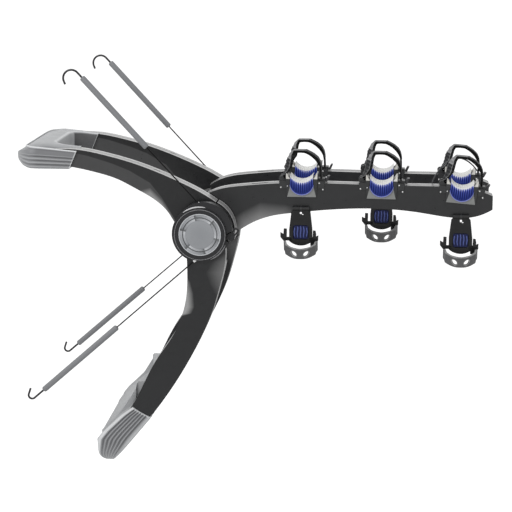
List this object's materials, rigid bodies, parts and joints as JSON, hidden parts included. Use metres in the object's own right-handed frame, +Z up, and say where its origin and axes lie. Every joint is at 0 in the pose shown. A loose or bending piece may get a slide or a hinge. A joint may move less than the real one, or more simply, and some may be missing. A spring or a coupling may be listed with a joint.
{
  "type": "trunk mounted bike rack",
  "caption": "Folding trunk bike rack with two curved U-shaped legs, carrying arms with strapped cradles and anti-sway cages, and hook cables wound by side dials.",
  "frame": {"origin": "middle of the lower pad's flat face, which lies against the vehicle", "axes": "+X away from the vehicle along the arms, +Y to the vehicle's right (seen from behind the rack), the side with the single cage, +Z up"},
  "size_m": [1.0495, 0.431, 0.8881],
  "materials": {
    "frame": "satin charcoal glass-filled nylon",
    "pad": "grey ribbed rubber",
    "steel": "zinc-plated steel",
    "bright_steel": "polished steel",
    "ring": "black nylon",
    "dial": "grey nylon",
    "cradle": "light grey nylon",
    "insert": "royal blue soft rubber",
    "strap": "dark grey rubber",
    "lever": "dark grey nylon",
    "cage": "gloss black nylon",
    "cable": "black plastic-coated steel cable",
    "sleeve": "grey protective rubber tube",
    "hook": "black plastic-coated steel wire"
  },
  "bodies": {
    "lower_frame": {"lower_frame": "frame", "lower_pad": "pad", "hub_axle": "steel", "axle_nuts": "steel", "cable_guides": "bright_steel", "left_housing": "frame", "right_housing": "frame", "left_hub_ring": "ring", "right_hub_ring": "ring"},
    "upper_frame": {"upper_frame": "frame", "upper_pad": "pad"},
    "arms": {"left_arm": "frame", "right_arm": "frame", "cross_tube": "steel", "left_cradle_bases": "cradle", "right_cradle_bases": "cradle", "left_cradle_inserts": "insert", "right_cradle_inserts": "insert", "cage_brackets": "cage", "tie_strap": "strap"},
    "left_dial": {"left_dial": "dial", "left_spool": "dial"},
    "left_upper_line": {"left_upper_cable": "cable", "left_upper_sleeve": "sleeve", "left_upper_hook": "hook"},
    "left_lower_line": {"left_lower_cable": "cable", "left_lower_sleeve": "sleeve", "left_lower_hook": "hook"},
    "left_lock": {"left_lock": "ring"},
    "left_strap_1": {"left_strap_1": "strap"},
    "left_lever_1": {"left_lever_1": "lever"},
    "left_strap_2": {"left_strap_2": "strap"},
    "left_lever_2": {"left_lever_2": "lever"},
    "left_strap_3": {"left_strap_3": "strap"},
    "left_lever_3": {"left_lever_3": "lever"},
    "right_dial": {"right_dial": "dial", "right_spool": "dial"},
    "right_upper_line": {"right_upper_cable": "cable", "right_upper_sleeve": "sleeve", "right_upper_hook": "hook"},
    "right_lower_line": {"right_lower_cable": "cable", "right_lower_sleeve": "sleeve", "right_lower_hook": "hook"},
    "right_lock": {"right_lock": "ring"},
    "right_strap_1": {"right_strap_1": "strap"},
    "right_lever_1": {"right_lever_1": "lever"},
    "right_strap_2": {"right_strap_2": "strap"},
    "right_lever_2": {"right_lever_2": "lever"},
    "right_strap_3": {"right_strap_3": "strap"},
    "right_lever_3": {"right_lever_3": "lever"},
    "cage_1": {"cage_1": "cage", "cage_pad_1": "insert"},
    "cage_strap_1": {"cage_strap_1": "strap"},
    "cage_2": {"cage_2": "cage", "cage_pad_2": "insert"},
    "cage_strap_2": {"cage_strap_2": "strap"},
    "cage_3": {"cage_3": "cage", "cage_pad_3": "insert"},
    "cage_strap_3": {"cage_strap_3": "strap"}
  },
  "joints": [
    {"name": "upper_fold", "type": "hinge", "parent": "lower_frame", "child": "upper_frame", "pos_m": [0.236, 0, 0.49], "axis": [0, 1, 0], "range_deg": [-75, 15]},
    {"name": "arms_fold", "type": "hinge", "parent": "lower_frame", "child": "arms", "pos_m": [0.236, 0, 0.49], "axis": [0, 1, 0], "range_deg": [-75, 0]},
    {"name": "left_dial_turn", "type": "hinge", "parent": "lower_frame", "child": "left_dial", "pos_m": [0.236, -0.1865, 0.49], "axis": [0, 1, 0], "range_deg": [0, 75]},
    {"name": "left_upper_line_pull", "type": "slide", "parent": "lower_frame", "child": "left_upper_line", "axis": [0.6772, 0.0097, -0.7357], "range_m": [0, 0.0393]},
    {"name": "left_lower_line_pull", "type": "slide", "parent": "lower_frame", "child": "left_lower_line", "axis": [0.7521, 0.0404, 0.6578], "range_m": [0, 0.0393]},
    {"name": "left_lock_pull", "type": "slide", "parent": "lower_frame", "child": "left_lock", "axis": [0, -1, 0], "range_m": [0, 0.006], "stiffness_N_per_m": 500},
    {"name": "left_strap_1_swing", "type": "hinge", "parent": "arms", "child": "left_strap_1", "pos_m": [0.408, -0.089, 0.6025], "axis": [0, 1, 0], "range_deg": [-75, 0]},
    {"name": "left_lever_1_press", "type": "hinge", "parent": "arms", "child": "left_lever_1", "pos_m": [0.5068, -0.089, 0.5975], "axis": [0, 1, 0], "range_deg": [0, 40], "stiffness_Nm_per_rad": 0.2},
    {"name": "left_strap_2_swing", "type": "hinge", "parent": "arms", "child": "left_strap_2", "pos_m": [0.58367, -0.089, 0.60122], "axis": [0, 1, 0], "range_deg": [-75, 0]},
    {"name": "left_lever_2_press", "type": "hinge", "parent": "arms", "child": "left_lever_2", "pos_m": [0.68237, -0.089, 0.5945], "axis": [0, 1, 0], "range_deg": [0, 40], "stiffness_Nm_per_rad": 0.2},
    {"name": "left_strap_3_swing", "type": "hinge", "parent": "arms", "child": "left_strap_3", "pos_m": [0.76, -0.089, 0.5966], "axis": [0, 1, 0], "range_deg": [-75, 0]},
    {"name": "left_lever_3_press", "type": "hinge", "parent": "arms", "child": "left_lever_3", "pos_m": [0.85799, -0.089, 0.58301], "axis": [0, 1, 0], "range_deg": [0, 40], "stiffness_Nm_per_rad": 0.2},
    {"name": "right_dial_turn", "type": "hinge", "parent": "lower_frame", "child": "right_dial", "pos_m": [0.236, 0.1865, 0.49], "axis": [0, 1, 0], "range_deg": [0, 75]},
    {"name": "right_upper_line_pull", "type": "slide", "parent": "lower_frame", "child": "right_upper_line", "axis": [0.6772, -0.0097, -0.7357], "range_m": [0, 0.0393]},
    {"name": "right_lower_line_pull", "type": "slide", "parent": "lower_frame", "child": "right_lower_line", "axis": [0.7521, -0.0404, 0.6578], "range_m": [0, 0.0393]},
    {"name": "right_lock_pull", "type": "slide", "parent": "lower_frame", "child": "right_lock", "axis": [0, 1, 0], "range_m": [0, 0.006], "stiffness_N_per_m": 500},
    {"name": "right_strap_1_swing", "type": "hinge", "parent": "arms", "child": "right_strap_1", "pos_m": [0.408, 0.089, 0.6025], "axis": [0, 1, 0], "range_deg": [-75, 0]},
    {"name": "right_lever_1_press", "type": "hinge", "parent": "arms", "child": "right_lever_1", "pos_m": [0.5068, 0.089, 0.5975], "axis": [0, 1, 0], "range_deg": [0, 40], "stiffness_Nm_per_rad": 0.2},
    {"name": "right_strap_2_swing", "type": "hinge", "parent": "arms", "child": "right_strap_2", "pos_m": [0.58367, 0.089, 0.60122], "axis": [0, 1, 0], "range_deg": [-75, 0]},
    {"name": "right_lever_2_press", "type": "hinge", "parent": "arms", "child": "right_lever_2", "pos_m": [0.68237, 0.089, 0.5945], "axis": [0, 1, 0], "range_deg": [0, 40], "stiffness_Nm_per_rad": 0.2},
    {"name": "right_strap_3_swing", "type": "hinge", "parent": "arms", "child": "right_strap_3", "pos_m": [0.76, 0.089, 0.5966], "axis": [0, 1, 0], "range_deg": [-75, 0]},
    {"name": "right_lever_3_press", "type": "hinge", "parent": "arms", "child": "right_lever_3", "pos_m": [0.85799, 0.089, 0.58301], "axis": [0, 1, 0], "range_deg": [0, 40], "stiffness_Nm_per_rad": 0.2},
    {"name": "cage_1_swing", "type": "hinge", "parent": "arms", "child": "cage_1", "pos_m": [0.452, -0.117, 0.537], "axis": [1, 0, 0], "range_deg": [-80, 0]},
    {"name": "cage_strap_1_swing", "type": "hinge", "parent": "cage_1", "child": "cage_strap_1", "pos_m": [0.417, -0.117, 0.457], "axis": [0, -0.4226, 0.9063], "range_deg": [-90, 0]},
    {"name": "cage_2_swing", "type": "hinge", "parent": "arms", "child": "cage_2", "pos_m": [0.6275, 0.061, 0.543], "axis": [1, 0, 0], "range_deg": [-50, 0]},
    {"name": "cage_strap_2_swing", "type": "hinge", "parent": "cage_2", "child": "cage_strap_2", "pos_m": [0.5925, 0.061, 0.463], "axis": [0, -0.4226, 0.9063], "range_deg": [-90, 0]},
    {"name": "cage_3_swing", "type": "hinge", "parent": "arms", "child": "cage_3", "pos_m": [0.803, -0.117, 0.524], "axis": [1, 0, 0], "range_deg": [-80, 0]},
    {"name": "cage_strap_3_swing", "type": "hinge", "parent": "cage_3", "child": "cage_strap_3", "pos_m": [0.768, -0.117, 0.444], "axis": [0, -0.4226, 0.9063], "range_deg": [-90, 0]}
  ],
  "couplings": [
    {"joint": "left_upper_line_pull", "follows": "left_dial_turn", "m_per_rad": 0.03},
    {"joint": "left_lower_line_pull", "follows": "left_dial_turn", "m_per_rad": 0.03},
    {"joint": "right_upper_line_pull", "follows": "right_dial_turn", "m_per_rad": 0.03},
    {"joint": "right_lower_line_pull", "follows": "right_dial_turn", "m_per_rad": 0.03}
  ]
}
